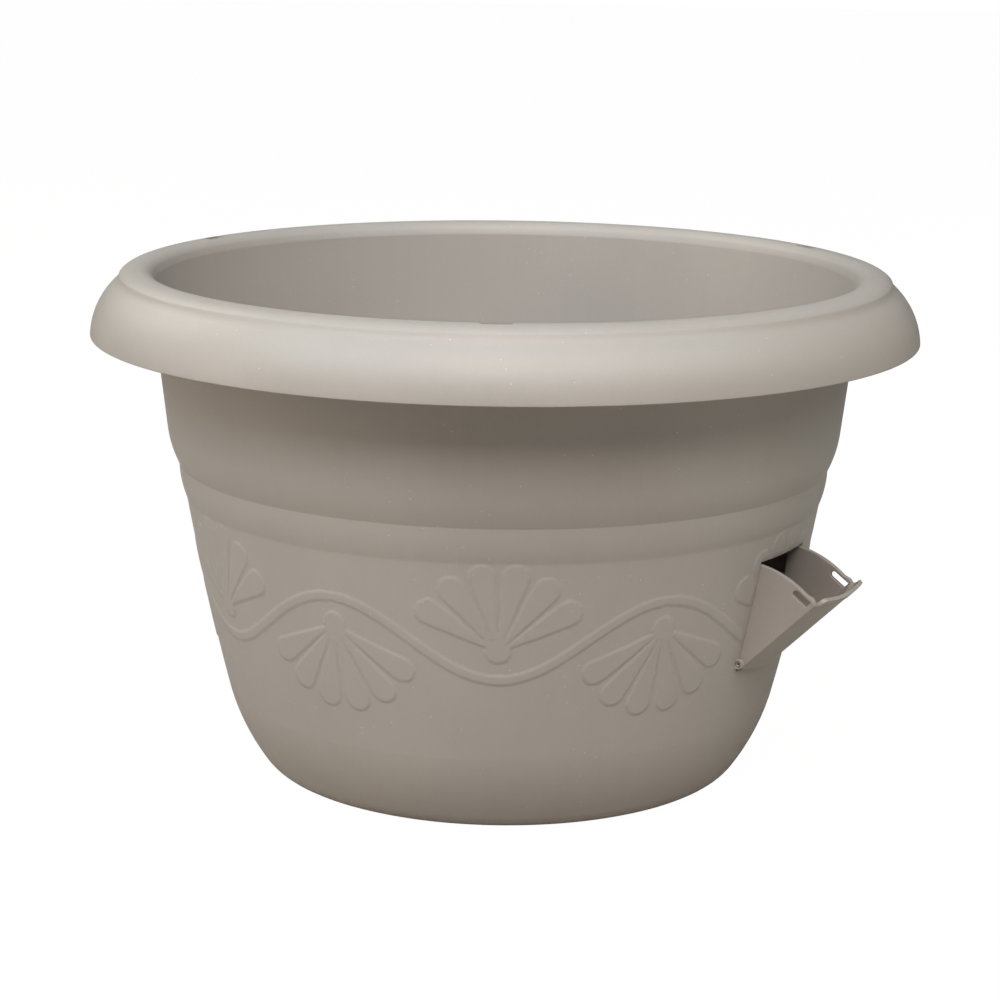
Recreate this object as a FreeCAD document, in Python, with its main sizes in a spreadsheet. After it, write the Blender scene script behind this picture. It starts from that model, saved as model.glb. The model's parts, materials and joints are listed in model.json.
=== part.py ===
import FreeCAD, Part
import math
import os

import Sketcher

# Self-watering hanging basket: a moulded pot with a pop-out watering chute.
# Origin at the centre of the flat base, +Z up, the chute faces +X. Millimetres and degrees.

SIZES = {
    # rim
    "rim_radius": 150.0,
    "rim_edge_height": 161.7,
    "skirt_curve": 26.5,
    "groove_radius": 139.9,
    "groove_height": 181.1,
    "shoulder_radius": 138.2,
    "shoulder_height": 184.1,
    "shoulder_curve": 3.9,
    "crest_radius": 132.2,
    "crest_height": 185.4,
    "crest_curve": 13.6,
    "mouth_radius": 126.6,
    "mouth_height": 180.3,
    "mouth_curve": 5.4,
    # outside of the wall, from the base upwards
    "wall": 2.0,
    "base_edge_radius": 85.1,
    "base_round": 12.0,
    "bowl_radius": 100.9,
    "bowl_height": 30.0,
    "bowl_curve": 80.0,
    "flank_radius": 116.2,
    "flank_height": 102.5,
    "flank_curve": 1040.0,
    "step_radius": 118.7,
    "step_height": 115.0,
    "lower_band_curve": 32.5,
    "upper_band_radius": 122.7,
    "upper_band_height": 127.7,
    "upper_band_curve": 37.0,
    "neck_radius": 126.4,
    # hollow under the rim, a wall's thickness inside the skirt
    "channel_throat_height": 179.3,
    "channel_crown_curve": 9.6,
    "channel_outer_radius": 138.1,
    "channel_outer_height": 179.9,
    # inside corner between the base and the bowl
    "base_inside_radius": 77.1,
    "bowl_inside_start_radius": 85.7,
    "bowl_inside_start_height": 8.8,
    # hanger slots through the rim crest
    "slot_count": 3,
    "slot_length": 11.0,
    "slot_width": 4.4,
    "slot_turn": 58.8,
    "slot_depth": 8.0,
    # ledge that carries the false floor
    "ledge_height": 34.0,
    "ledge_root_radius": 100.5,
    "ledge_edge_radius": 95.9,
    "ledge_edge_depth": 1.5,
    "ledge_taper_radius": 99.5,
    "ledge_taper_depth": 4.8,
    # overflow holes opposite the chute
    "overflow_radius": 2.5,
    "overflow_height": 28.0,
    "overflow_spacing": 30.0,
    # chute: pivot place, opening in the wall, and the tilt of the panel when fully open
    "pivot_reach": 106.4,
    "pivot_height": 56.1,
    "window_half_width": 17.3,
    "sill_height": 53.0,
    "lintel_height": 93.5,
    "open_tilt": 45.5,
    "panel_half_width": 17.0,
    "panel_offset": 1.6,
    "panel_thickness": 1.8,
    "panel_bow": 3.0,
    "panel_tail": 1.2,
    "panel_reach": 41.0,
    "lip_start": 36.4,
    "lip_rise": 1.2,
    "lip_offset": 3.0,
    "lip_bow": 1.8,
    "lip_thickness": 1.6,
    "lip_round": 1.8,
    "cheek_outside": 16.8,
    "cheek_thickness": 1.6,
    "cheek_radius": 36.8,
    "cheek_angle": 42.1,
    "hub_radius": 1.8,
    "stop_radius": 39.2,
    "stop_angle": 38.1,
    "bump_radius": 3.5,
    "bump_reach": 34.05,
    "bump_angle": 0.8,
    "flex_slot_radius": 0.9,
    "flex_slot_reach": 34.4,
    "flex_slot_panel_reach": 35.1,
    "flex_slot_angle": 9.0,
    "flex_slot_end_curve": 0.95,
    "stub_radius": 0.8,
    "stub_length": 1.8,
    "stub_pit_radius": 0.45,
    "stub_pit_depth": 1.2,
    "running_gap": 0.06,
    "lug_radius": 1.7,
    "lug_thickness": 1.8,
    "lug_root": 104.0,
    # cover behind the window
    "guide_gap": 0.4,
    "guide_wall": 1.6,
    "guide_half_width": 22.8,
    "guide_reach": 80.9,
    "guide_roof_curve": 42.6,
    "guide_roof_start": 91.0,
    "guide_roof_height": 98.6,
    "guide_block_reach": 118.0,
    "tab_width": 9.0,
    "tab_depth": 3.6,
    "tab_spacing": 22.0,
    "tab_gap": 0.3,
    # false floor and felt mat
    "floor_gap": 0.8,
    "floor_thickness": 2.2,
    "floor_blank_radius": 104.9,
    "water_opening_start": 3.0,
    "water_opening_depth": 9.0,
    "water_opening_margin": 4.0,
    "drain_radius": 2.25,
    "outer_drain_ring": 87.0,
    "inner_drain_ring": 73.0,
    "drain_count": 28,
    "drain_sweep": 324.0,
    "centre_drain_ring": 24.0,
    "centre_drain_count": 6,
    "foot_radius": 6.0,
    "foot_ring": 34.0,
    "foot_count": 3,
    "mat_radius": 62.0,
    "mat_thickness": 2.0,
    "tongue_half_width": 12.0,
    "tongue_reach": 50.0,
    "tongue_bottom": 4.4,
    "tongue_gap": 1.2,
}

# A cut that takes away less than this many cubic millimetres has missed the solid.
SMALLEST_CUT = 0.5
# Edges this close to a place are taken to lie on it.
NEAR = 0.01
# Extra length that lets a cut run clean through the face it starts from or ends at.
RUN_OUT = 2.0


class Size:
    """A length or angle with its value now and the sheet formula that keeps it."""

    def __init__(self, value, formula):
        self.value = value
        self.formula = formula

    def __add__(self, other):
        other = as_size(other)
        return Size(self.value + other.value, f"({self.formula} + {other.formula})")

    def __sub__(self, other):
        other = as_size(other)
        return Size(self.value - other.value, f"({self.formula} - {other.formula})")

    def __mul__(self, other):
        other = as_size(other)
        return Size(self.value * other.value, f"({self.formula} * {other.formula})")

    def __truediv__(self, other):
        other = as_size(other)
        return Size(self.value / other.value, f"({self.formula} / {other.formula})")

    def __neg__(self):
        return Size(-self.value, f"(0 - {self.formula})")

    def cosine(self):
        return Size(math.cos(math.radians(self.value)), f"cos({self.formula} * 1deg)")

    def sine(self):
        return Size(math.sin(math.radians(self.value)), f"sin({self.formula} * 1deg)")


def as_size(number):
    return number if isinstance(number, Size) else Size(float(number), f"{number:g}")


def size(name):
    return Size(float(SIZES[name]), f"sizes.{name}")


def make_sheet(doc):
    sheet = doc.addObject("Spreadsheet::Sheet", "sizes")
    for row, (name, value) in enumerate(SIZES.items(), start=1):
        sheet.set(f"A{row}", name)
        sheet.set(f"B{row}", f"{value:g}")
        sheet.setAlias(f"B{row}", name)
    doc.recompute()
    return sheet


# Sketches ------------------------------------------------------------------------------------


def origin_feature(body, role):
    return next(f for f in body.Origin.OriginFeatures if f.Role == role)


def new_body(doc, label):
    body = doc.addObject("PartDesign::Body", label)
    body.Label = label
    doc.recompute()
    return body


def new_sketch(body, name, role="XZ_Plane", offset=None):
    """A sketch on one of the body's own planes, moved along the plane's normal by offset."""
    sketch = body.newObject("Sketcher::SketchObject", name)
    sketch.AttachmentSupport = [(origin_feature(body, role), "")]
    sketch.MapMode = "FlatFace"
    if offset is not None:
        sketch.AttachmentOffset = FreeCAD.Placement(FreeCAD.Vector(0, 0, offset.value), FreeCAD.Rotation())
        sketch.setExpression("AttachmentOffset.Base.z", offset.formula)
    return sketch


def hold(sketch, kind, where, amount, name):
    """Adds a driving dimension bound to the sheet."""
    index = sketch.addConstraint(Sketcher.Constraint(kind, *where, amount.value))
    sketch.renameConstraint(index, name)
    sketch.setExpression(f"Constraints.{name}", amount.formula)


def place_point(sketch, geometry, vertex, across, up, name):
    """Holds a vertex at (across, up) from the sketch's origin; a plain zero means on the axis."""
    for kind, axis, amount in (("DistanceX", -2, across), ("DistanceY", -1, up)):
        if isinstance(amount, Size):
            hold(sketch, kind, (-1, 1, geometry, vertex), amount, f"{name}_{kind}")
        else:
            sketch.addConstraint(Sketcher.Constraint("PointOnObject", geometry, vertex, axis))


def flat_vector(across, up):
    return FreeCAD.Vector(as_size(across).value, as_size(up).value, 0)


def arc_between(start, end, radius, turns_left):
    """The shorter arc from start to end, with its centre on the left or the right of the way."""
    chord = end - start
    half = chord.Length / 2
    left = FreeCAD.Vector(-chord.y, chord.x, 0).normalize()
    rise = math.sqrt(max(radius * radius - half * half, 0.0))
    centre = (start + end) * 0.5 + left * (rise if turns_left else -rise)
    first, last = (start, end) if turns_left else (end, start)
    angles = [math.atan2(p.y - centre.y, p.x - centre.x) for p in (first, last)]
    return Part.ArcOfCircle(Part.Circle(centre, FreeCAD.Vector(0, 0, 1), radius), *angles)


def outline(sketch, corners, name="side"):
    """Closes corners (across, up, bend) into a loop.

    bend shapes the side that starts at the corner: None is straight, and ("left" or "right", radius)
    is an arc whose centre lies on that side of the way.
    """
    count = len(corners)
    ends = []
    for i, (across, up, bend) in enumerate(corners):
        start = flat_vector(across, up)
        end = flat_vector(*corners[(i + 1) % count][:2])
        if bend is None:
            geometry = sketch.addGeometry(Part.LineSegment(start, end), False)
            ends.append((geometry, 1, 2))
            continue
        turns_left = bend[0] == "left"
        geometry = sketch.addGeometry(arc_between(start, end, bend[1].value, turns_left), False)
        hold(sketch, "Radius", (geometry,), bend[1], f"{name}{i}_bend")
        ends.append((geometry, 1, 2) if turns_left else (geometry, 2, 1))
    for i in range(count):
        here, there = ends[i], ends[(i + 1) % count]
        sketch.addConstraint(Sketcher.Constraint("Coincident", here[0], here[2], there[0], there[1]))
    for i, (across, up, _) in enumerate(corners):
        place_point(sketch, ends[i][0], ends[i][1], across, up, f"{name}{i}")


def rectangle(sketch, left, right, bottom, top, name="side"):
    corners = [(left, bottom), (right, bottom), (right, top), (left, top)]
    outline(sketch, [(*corner, None) for corner in corners], name)


def circle(sketch, across, up, radius, name="ring"):
    shape = Part.Circle(flat_vector(across, up), FreeCAD.Vector(0, 0, 1), radius.value)
    geometry = sketch.addGeometry(shape, False)
    place_point(sketch, geometry, 3, across, up, name)
    hold(sketch, "Radius", (geometry,), radius, f"{name}_radius")


# Features ------------------------------------------------------------------------------------


def turned(body, sketch, kind, name):
    """A full turn of the sketch about its vertical axis."""
    feature = body.newObject(f"PartDesign::{kind}", name)
    feature.Profile = sketch
    feature.ReferenceAxis = (sketch, ["V_Axis"])
    feature.Angle = 360
    return feature


def extruded(body, sketch, kind, name, length, reverse=False, symmetric=False):
    feature = body.newObject(f"PartDesign::{kind}", name)
    feature.Profile = sketch
    feature.Length = length.value
    feature.setExpression("Length", length.formula)
    feature.Reversed = reverse
    if symmetric:
        feature.SideType = "Symmetric"
    return feature


def mirrored(body, originals, name, role="XZ_Plane"):
    feature = body.newObject("PartDesign::Mirrored", name)
    feature.Originals = originals
    feature.MirrorPlane = (origin_feature(body, role), [""])
    body.Tip = feature
    return feature


def polar(body, originals, name, count, sweep=None):
    """Repeats features about the vertical axis, evenly over a full turn or over a given sweep."""
    feature = body.newObject("PartDesign::PolarPattern", name)
    feature.Originals = originals
    feature.Axis = (origin_feature(body, "Z_Axis"), [""])
    feature.Angle = 360 if sweep is None else sweep.value
    if sweep is not None:
        feature.setExpression("Angle", sweep.formula)
    feature.Occurrences = int(count.value)
    feature.setExpression("Occurrences", count.formula)
    body.Tip = feature
    return feature


def rounded(body, radius, name, wanted):
    """Fillets the edges of the tip for which wanted(edge) is true."""
    body.Document.recompute()
    base = body.Tip
    edges = [f"Edge{i}" for i, edge in enumerate(base.Shape.Edges, start=1) if wanted(edge)]
    if not edges:
        raise RuntimeError(f"{body.Label}: {name} finds no edge")
    feature = body.newObject("PartDesign::Fillet", name)
    feature.Base = (base, edges)
    feature.Radius = radius.value
    feature.setExpression("Radius", radius.formula)
    return feature


def must_cut(body, feature, before):
    """A cut that misses the solid shows no error, so its volume is compared."""
    body.Document.recompute()
    if feature.Shape.Volume > before - SMALLEST_CUT:
        raise RuntimeError(f"{body.Label}: {feature.Name} cuts nothing")


def cut(body, sketch, name, length, reverse=False, symmetric=False):
    body.Document.recompute()
    before = body.Tip.Shape.Volume
    feature = extruded(body, sketch, "Pocket", name, length, reverse, symmetric)
    must_cut(body, feature, before)
    return feature


def groove(body, sketch, name):
    body.Document.recompute()
    before = body.Tip.Shape.Volume
    feature = turned(body, sketch, "Groove", name)
    must_cut(body, feature, before)
    return feature


# Basket shell --------------------------------------------------------------------------------


def wall_corners(inset):
    """The wall's outline from the bowl up to the upper band, moved inwards by inset."""
    shift = Size(0.0, "0") if inset is None else inset
    return [
        (size("bowl_radius") - shift, size("bowl_height"), ("left", size("flank_curve"))),
        (size("flank_radius") - shift, size("flank_height"), ("left", size("lower_band_curve"))),
        (size("step_radius") - shift, size("step_height"), ("left", size("upper_band_curve"))),
        (size("upper_band_radius") - shift, size("upper_band_height"), None),
    ]


def shell_blank(body):
    """The outside of pot and rim, turned as one solid."""
    sketch = new_sketch(body, "outside")
    corners = [(0, 0, None), (size("base_edge_radius"), 0, ("left", size("bowl_curve")))]
    corners += wall_corners(None)
    corners += [
        (size("neck_radius"), size("rim_edge_height"), None),
        (size("rim_radius"), size("rim_edge_height"), ("left", size("skirt_curve"))),
        (size("groove_radius"), size("groove_height"), ("left", size("shoulder_curve"))),
        (size("shoulder_radius"), size("shoulder_height"), ("left", size("crest_curve"))),
        (size("crest_radius"), size("crest_height"), ("left", size("mouth_curve"))),
        (size("mouth_radius"), size("mouth_height"), None),
        (0, size("mouth_height"), None),
    ]
    outline(sketch, corners)
    turned(body, sketch, "Revolution", "pot_blank")
    rounded(body, size("base_round"), "base_edge", is_base_edge)


def is_base_edge(edge):
    box = edge.BoundBox
    return box.ZLength < NEAR and abs(box.ZMin) < NEAR and box.XLength > SIZES["base_edge_radius"]


def shell_hollow(body):
    """The planting space, with a ledge left standing for the false floor."""
    wall = size("wall")
    above_crest = size("crest_height") + RUN_OUT
    bowl_start = size("bowl_inside_start_radius"), size("bowl_inside_start_height")
    sketch = new_sketch(body, "inside")
    corners = [
        (0, wall, None),
        (size("base_inside_radius"), wall, ("left", size("base_round"))),
        (*bowl_start, ("left", size("bowl_curve") - wall)),
    ]
    corners += wall_corners(wall)
    corners += [
        (size("mouth_radius"), size("mouth_height"), None),
        (size("mouth_radius"), above_crest, None),
        (0, above_crest, None),
    ]
    outline(sketch, corners)
    groove(body, sketch, "planting_space")
    ledge_top = size("ledge_height")
    ledge = new_sketch(body, "ledge_section")
    outline(ledge, [
        (size("ledge_edge_radius"), ledge_top, None),
        (size("ledge_edge_radius"), ledge_top - size("ledge_edge_depth"), None),
        (size("ledge_taper_radius"), ledge_top - size("ledge_taper_depth"), None),
        (size("ledge_root_radius"), ledge_top, None),
    ])
    turned(body, ledge, "Revolution", "ledge")


def shell_rim_channel(body):
    """The hollow under the rim, between the neck and the skirt."""
    wall = size("wall")
    sketch = new_sketch(body, "channel")
    edge = size("rim_edge_height")
    outline(sketch, [
        (size("neck_radius"), edge, None),
        (size("mouth_radius") + wall, size("channel_throat_height"), ("right", size("mouth_curve"))),
        (size("crest_radius"), size("crest_height") - wall, ("right", size("channel_crown_curve"))),
        (size("channel_outer_radius"), size("channel_outer_height"), ("right", size("skirt_curve") - wall)),
        (size("rim_radius") - wall, edge, None),
    ])
    groove(body, sketch, "rim_channel")


def shell_slots(body):
    """Slots through the rim crest for the hanger's hooks."""
    turn = size("slot_turn")
    sketch = new_sketch(body, "hanger_slot", "XY_Plane", size("crest_height") - size("slot_depth"))
    half_length = size("slot_length") * 0.5
    half_width = size("slot_width") * 0.5
    corners = []
    for out, along in ((-1, -1), (1, -1), (1, 1), (-1, 1)):
        radial = size("crest_radius") + half_width * out
        tangent = half_length * along
        across = turn.cosine() * radial - turn.sine() * tangent
        up = turn.sine() * radial + turn.cosine() * tangent
        corners.append((across, up, None))
    outline(sketch, corners)
    slot = cut(body, sketch, "slot_cut", size("slot_depth") + RUN_OUT, reverse=True)
    polar(body, [slot], "slots", size("slot_count"))


def shell_window(body):
    """The opening for the chute."""
    half = size("window_half_width")
    window = new_sketch(body, "window", "YZ_Plane")
    rectangle(window, -half, half, size("sill_height"), size("lintel_height"))
    cut(body, window, "window_cut", size("rim_radius"), reverse=True)


def shell_lugs(body):
    """The two eyes beside the window that carry the chute's hinge stubs."""
    half = size("window_half_width")
    pivot_out = size("pivot_reach")
    pivot_up = size("pivot_height")
    radius = size("lug_radius")
    section = new_sketch(body, "lug_section", "XZ_Plane", half)
    outline(section, [
        (size("lug_root"), pivot_up - radius, None),
        (pivot_out, pivot_up - radius, ("left", radius)),
        (pivot_out + radius, pivot_up, ("left", radius)),
        (pivot_out, pivot_up + radius, None),
        (size("lug_root"), pivot_up + radius, None),
    ])
    lug = extruded(body, section, "Pad", "lug", size("lug_thickness"))
    eye = new_sketch(body, "eye_section", "XZ_Plane", half)
    circle(eye, pivot_out, pivot_up, size("stub_radius") + size("running_gap"))
    eye_cut = cut(body, eye, "eye", size("lug_thickness"), reverse=True)
    mirrored(body, [lug, eye_cut], "both_lugs")


def shell_overflow(body):
    """Two holes that keep the water below the false floor."""
    sketch = new_sketch(body, "overflow", "YZ_Plane")
    for side in (-1, 1):
        across = size("overflow_spacing") * (0.5 * side)
        circle(sketch, across, size("overflow_height"), size("overflow_radius"), f"hole{side + 1}")
    cut(body, sketch, "overflow_cut", size("rim_radius"))


def make_shell(doc):
    body = new_body(doc, "basket_shell")
    shell_blank(body)
    shell_hollow(body)
    shell_rim_channel(body)
    shell_slots(body)
    shell_window(body)
    shell_lugs(body)
    shell_overflow(body)
    return body


# Water hatch ---------------------------------------------------------------------------------
# Drawn about its pivot with the panel upright, then tilted to its fully open place.


def polar_point(reach, angle):
    """A point at a distance from the pivot, turned inwards from the panel by an angle."""
    return -(reach * angle.sine()), reach * angle.cosine()


def bowed_strip(body, name, outside, bow, thickness, height):
    """A sketch at a height above the pivot: a strip across the panel, bowed outwards."""
    half = size("panel_half_width")
    curve = (half * half + bow * bow) / (bow * 2)
    inside = outside - thickness
    strip = new_sketch(body, name, "XY_Plane", height)
    outline(strip, [
        (inside, -half, None),
        (outside, -half, ("left", curve)),
        (outside, half, None),
        (inside, half, ("right", curve)),
    ])
    return strip


def hatch_panel(body):
    """The bowed panel; its top steps outwards into a flatter finger lip with rounded corners."""
    panel_shape = (size("panel_offset"), size("panel_bow"), size("panel_thickness"))
    lip_shape = (size("lip_offset"), size("lip_bow"), size("lip_thickness"))
    lip_foot = size("lip_start") + size("lip_rise")
    bottom = bowed_strip(body, "panel_section", *panel_shape, -size("panel_tail"))
    extruded(body, bottom, "Pad", "panel", size("lip_start") + size("panel_tail"))
    step = body.newObject("PartDesign::AdditiveLoft", "lip_step")
    step.Profile = bowed_strip(body, "lip_step_foot", *panel_shape, size("lip_start"))
    step.Sections = [bowed_strip(body, "lip_step_head", *lip_shape, lip_foot)]
    step.Ruled = True
    lip = bowed_strip(body, "lip_section", *lip_shape, lip_foot)
    extruded(body, lip, "Pad", "lip", size("panel_reach") - lip_foot)
    rounded(body, size("lip_round"), "lip_corners", is_lip_corner)


def is_lip_corner(edge):
    """True for the two short edges through the panel's thickness at its top."""
    box = edge.BoundBox
    level = box.ZLength < NEAR and abs(box.ZMin - SIZES["panel_reach"]) < NEAR
    at_side = box.YLength < NEAR and abs(abs(box.YMin) - SIZES["panel_half_width"]) < NEAR
    return level and at_side


def hatch_cheeks(body):
    """The two sector cheeks with stop, snap bump and flex slot."""
    radius = size("cheek_radius")
    cheek_inside = size("cheek_outside") - size("cheek_thickness")
    sector = new_sketch(body, "cheek_section", "XZ_Plane", cheek_inside)
    inner = polar_point(radius, size("cheek_angle"))
    stop_low = polar_point(size("stop_radius"), size("cheek_angle"))
    stop_high = polar_point(size("stop_radius"), size("stop_angle"))
    stop_foot = polar_point(radius, size("stop_angle"))
    outline(sector, [
        (0, -size("hub_radius"), None),
        (0, radius, ("left", radius)),
        (*stop_foot, None),
        (*stop_high, ("left", size("stop_radius"))),
        (*stop_low, None),
        (*inner, None),
        (-size("hub_radius"), 0, ("left", size("hub_radius"))),
    ])
    cheek = extruded(body, sector, "Pad", "cheek", size("cheek_thickness"))
    bump_section = new_sketch(body, "bump_section", "XZ_Plane", cheek_inside)
    bump_place = polar_point(size("bump_reach"), size("bump_angle"))
    circle(bump_section, *bump_place, size("bump_radius"))
    bump = extruded(body, bump_section, "Pad", "bump", size("cheek_thickness"))
    slot = hatch_flex_slot(body)
    stub_section = new_sketch(body, "stub_section", "XZ_Plane", size("cheek_outside"))
    circle(stub_section, 0, 0, size("stub_radius"))
    stub = extruded(body, stub_section, "Pad", "stub", size("stub_length"))
    pit_section = new_sketch(body, "pit_section", "XZ_Plane", size("cheek_outside") + size("stub_length"))
    circle(pit_section, 0, 0, size("stub_pit_radius"))
    pit = cut(body, pit_section, "pit", size("stub_pit_depth"))
    mirrored(body, [cheek, bump, slot, stub, pit], "both_cheeks")


def hatch_flex_slot(body):
    """A slot under the bump, so that the bump can spring inwards."""
    sketch = new_sketch(body, "flex_slot_section", "XZ_Plane", size("cheek_outside"))
    half = size("flex_slot_radius")
    inside = size("panel_offset") - size("panel_thickness")
    near = size("flex_slot_panel_reach")
    far_across, far_up = polar_point(size("flex_slot_reach"), size("flex_slot_angle"))
    outline(sketch, [
        (inside, near - half, None),
        (inside, near + half, None),
        (far_across, far_up + half, ("left", size("flex_slot_end_curve"))),
        (far_across, far_up - half, None),
    ])
    return cut(body, sketch, "flex_slot", size("cheek_thickness"))


def make_hatch(doc):
    body = new_body(doc, "water_hatch")
    hatch_panel(body)
    hatch_cheeks(body)
    pivot = FreeCAD.Vector(SIZES["pivot_reach"], 0, SIZES["pivot_height"])
    body.Placement = FreeCAD.Placement(pivot, FreeCAD.Rotation(FreeCAD.Vector(0, 1, 0), SIZES["open_tilt"]))
    body.setExpression("Placement.Base.x", "sizes.pivot_reach")
    body.setExpression("Placement.Base.z", "sizes.pivot_height")
    body.setExpression("Placement.Rotation.Angle", "sizes.open_tilt")
    return body


# Water guide, false floor and mat ------------------------------------------------------------


def floor_top():
    return size("ledge_height") + size("floor_thickness")


def trim_to_pot(body, gap, name):
    """Cuts away everything nearer than gap to the pot's inside."""
    sketch = new_sketch(body, f"{name}_section")
    inset = size("wall") + gap
    corners = [(size("base_edge_radius") - inset, 0, ("left", size("bowl_curve") - inset))]
    corners += wall_corners(inset)
    corners[-1] = (*corners[-1][:2], None)
    corners += [(size("rim_radius"), size("upper_band_height"), None), (size("rim_radius"), 0, None)]
    outline(sketch, corners)
    groove(body, sketch, name)


def make_guide(doc):
    """Cover behind the window, open to the window and to the water below."""
    body = new_body(doc, "water_guide")
    wall = size("guide_wall")
    bottom = floor_top()
    far = size("guide_block_reach")

    def side_section(sketch, inset):
        back = size("guide_reach") + inset
        roof = size("guide_roof_height") - inset
        outline(sketch, [
            (back, bottom, None),
            (far, bottom, None),
            (far, roof, None),
            (size("pivot_reach"), roof, ("left", size("guide_roof_curve") - inset)),
            (back, size("guide_roof_start") - inset, None),
        ])

    outer = new_sketch(body, "guide_outside")
    side_section(outer, Size(0.0, "0"))
    extruded(body, outer, "Pad", "guide_block", size("guide_half_width") * 2, symmetric=True)
    inner = new_sketch(body, "guide_inside")
    side_section(inner, wall)
    cut(body, inner, "guide_hollow", (size("guide_half_width") - wall) * 2, symmetric=True)
    trim_to_pot(body, size("guide_gap"), "guide_trim")
    tabs = new_sketch(body, "tab_section", "XY_Plane", bottom)
    for side in (-1, 1):
        middle = size("tab_spacing") * (0.5 * side)
        half = size("tab_width") * 0.5
        reach = size("guide_reach")
        rectangle(tabs, reach, reach + wall, middle - half, middle + half, f"tab{side + 1}")
    extruded(body, tabs, "Pad", "tabs", size("tab_depth"), reverse=True)
    return body


def make_platform(doc):
    """Perforated false floor on three hollow feet, with openings for the guide, its tabs and the mat."""
    body = new_body(doc, "reservoir_platform")
    thickness = size("floor_thickness")
    disc = new_sketch(body, "floor_disc", "XY_Plane", size("ledge_height"))
    circle(disc, 0, 0, size("floor_blank_radius"))
    extruded(body, disc, "Pad", "floor_plate", thickness)
    trim_to_pot(body, size("floor_gap"), "floor_trim")
    platform_feet(body)
    platform_drains(body)
    platform_openings(body)
    return body


def platform_feet(body):
    top = floor_top()
    wall = size("guide_wall")
    foot = new_sketch(body, "foot_section", "XY_Plane", size("wall"))
    circle(foot, size("foot_ring"), 0, size("foot_radius"))
    foot_pad = extruded(body, foot, "Pad", "foot", size("ledge_height") - size("wall"))
    bore = new_sketch(body, "foot_hollow", "XY_Plane", top)
    circle(bore, size("foot_ring"), 0, size("foot_radius") - wall)
    bore_cut = cut(body, bore, "foot_bore", top - size("wall") - wall)
    polar(body, [foot_pad, bore_cut], "feet", size("foot_count"))


def platform_drains(body):
    top = floor_top()
    half_gap = (as_size(360) - size("drain_sweep")) * 0.5
    ring = new_sketch(body, "drain_section", "XY_Plane", top)
    for name in ("outer_drain_ring", "inner_drain_ring"):
        reach = size(name)
        circle(ring, reach * half_gap.cosine(), reach * half_gap.sine(), size("drain_radius"), name)
    drain = cut(body, ring, "drain", size("floor_thickness"))
    polar(body, [drain], "drains", size("drain_count"), size("drain_sweep"))
    centre = new_sketch(body, "centre_section", "XY_Plane", top)
    spacing = Size(180.0 / SIZES["centre_drain_count"], "(180 / sizes.centre_drain_count)")
    reach = size("centre_drain_ring")
    circle(centre, reach * spacing.cosine(), reach * spacing.sine(), size("drain_radius"))
    centre_drain = cut(body, centre, "centre_drain", size("floor_thickness"))
    polar(body, [centre_drain], "centre_drains", size("centre_drain_count"))


def platform_openings(body):
    top = floor_top()
    gap = size("tab_gap")
    wall = size("guide_wall")
    openings = new_sketch(body, "openings", "XY_Plane", top)
    reach = size("guide_reach")
    start = reach + wall + size("water_opening_start")
    half = size("guide_half_width") - wall - size("water_opening_margin")
    rectangle(openings, start, start + size("water_opening_depth"), -half, half, "water")
    for side in (-1, 1):
        middle = size("tab_spacing") * (0.5 * side)
        tab = size("tab_width") * 0.5 + gap
        rectangle(openings, reach - gap, reach + wall + gap, middle - tab, middle + tab, f"tab{side + 1}")
        reach_out = size("tongue_reach") * side
        slack = size("mat_thickness") * 0.5 + size("tongue_gap")
        tongue = size("tongue_half_width") + size("tongue_gap")
        rectangle(openings, -tongue, tongue, reach_out - slack, reach_out + slack, f"tongue{side + 1}")
    cut(body, openings, "opening_cut", size("floor_thickness"))


def make_mat(doc):
    """Felt disc with two tongues that hang through the false floor."""
    body = new_body(doc, "capillary_mat")
    thickness = size("mat_thickness")
    disc = new_sketch(body, "mat_disc", "XY_Plane", floor_top())
    circle(disc, 0, 0, size("mat_radius"))
    extruded(body, disc, "Pad", "mat", thickness)
    tongues = new_sketch(body, "tongue_section", "XY_Plane", size("tongue_bottom"))
    half = size("tongue_half_width")
    for side in (-1, 1):
        reach = size("tongue_reach") * side
        rectangle(tongues, -half, half, reach - thickness * 0.5, reach + thickness * 0.5, f"tongue{side + 1}")
    extruded(body, tongues, "Pad", "tongues", floor_top() - size("tongue_bottom"))
    return body


# Checks and files ----------------------------------------------------------------------------


def check_document(doc, bodies):
    for item in doc.Objects:
        if "Invalid" in item.State or "Error" in item.State:
            raise RuntimeError(f"{item.Name} failed: {item.State}")
    for body in bodies:
        shape = body.Shape
        if shape.isNull() or not shape.isValid() or not shape.Solids:
            raise RuntimeError(f"{body.Label} has no valid solid")
        print(body.Label, len(shape.Solids), "solid,", round(shape.Volume / 1000, 2), "cm3,", shape.BoundBox)


def write_parts(bodies):
    os.makedirs("parts", exist_ok=True)
    for body in bodies:
        body.Shape.exportStep(f"parts/{body.Label}.step")


def main():
    doc = FreeCAD.newDocument("hanging_basket")
    make_sheet(doc)
    bodies = [make(doc) for make in (make_shell, make_hatch, make_guide, make_platform, make_mat)]
    doc.recompute()
    check_document(doc, bodies)
    write_parts(bodies)


main()
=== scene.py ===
"""Looks of the self-watering hanging basket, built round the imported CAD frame.

Lengths are written in millimetres in the part's frame (origin at the centre of the base, +Z up,
chute towards +X) and turned into metres where a mesh is made. Lights and camera are in metres.
"""

import json
import math
from collections import namedtuple

import bmesh
import bpy
import numpy as np
from mathutils import Matrix, Vector


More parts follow.
